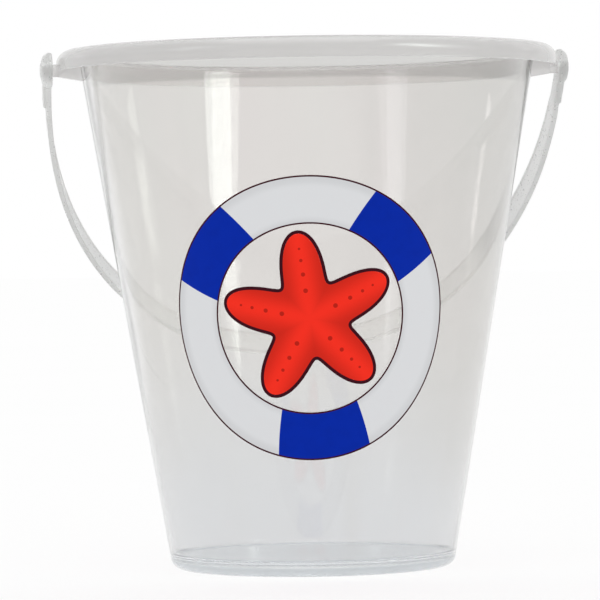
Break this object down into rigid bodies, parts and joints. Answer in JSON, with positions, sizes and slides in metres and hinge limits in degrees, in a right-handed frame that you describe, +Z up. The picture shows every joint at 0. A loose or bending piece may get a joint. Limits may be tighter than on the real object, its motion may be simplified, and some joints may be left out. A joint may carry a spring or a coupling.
{
  "type": "bucket",
  "caption": "Clear tapered plastic seaside bucket with a down-turned rim, a swinging translucent strap handle on side pegs and a round printed ring-and-star emblem on the front.",
  "frame": {"origin": "centre of the base, on the plane the foot stands on", "axes": "+Z up along the bucket's axis, +X along the handle pegs, -Y towards the front with the emblem, handle at rest against the back (+Y) wall"},
  "size_m": [0.2346, 0.22, 0.228],
  "materials": {
    "clear_plastic": "polished, see-through, faint grey tint",
    "translucent_plastic": "satin, cloudy, lets light through",
    "ink_blue": "printed ink, satin",
    "ink_white": "printed ink, satin",
    "ink_red": "printed ink, satin",
    "ink_dark": "printed ink, satin"
  },
  "bodies": {
    "bucket": {"bucket_body": "clear_plastic", "print_blue_band_1": "ink_blue", "print_blue_band_2": "ink_blue", "print_blue_band_3": "ink_blue", "print_white_band_1": "ink_white", "print_white_band_2": "ink_white", "print_white_band_3": "ink_white", "print_keyline_outer": "ink_dark", "print_keyline_inner": "ink_dark", "print_star": "ink_red", "print_star_outline": "ink_dark"},
    "bail": {"handle": "translucent_plastic"}
  },
  "joints": [
    {"name": "handle_swing", "type": "hinge", "parent": "bucket", "child": "bail", "pos_m": [0, 0, 0.219], "axis": [1, 0, 0], "range_deg": [0, 289.9]}
  ]
}
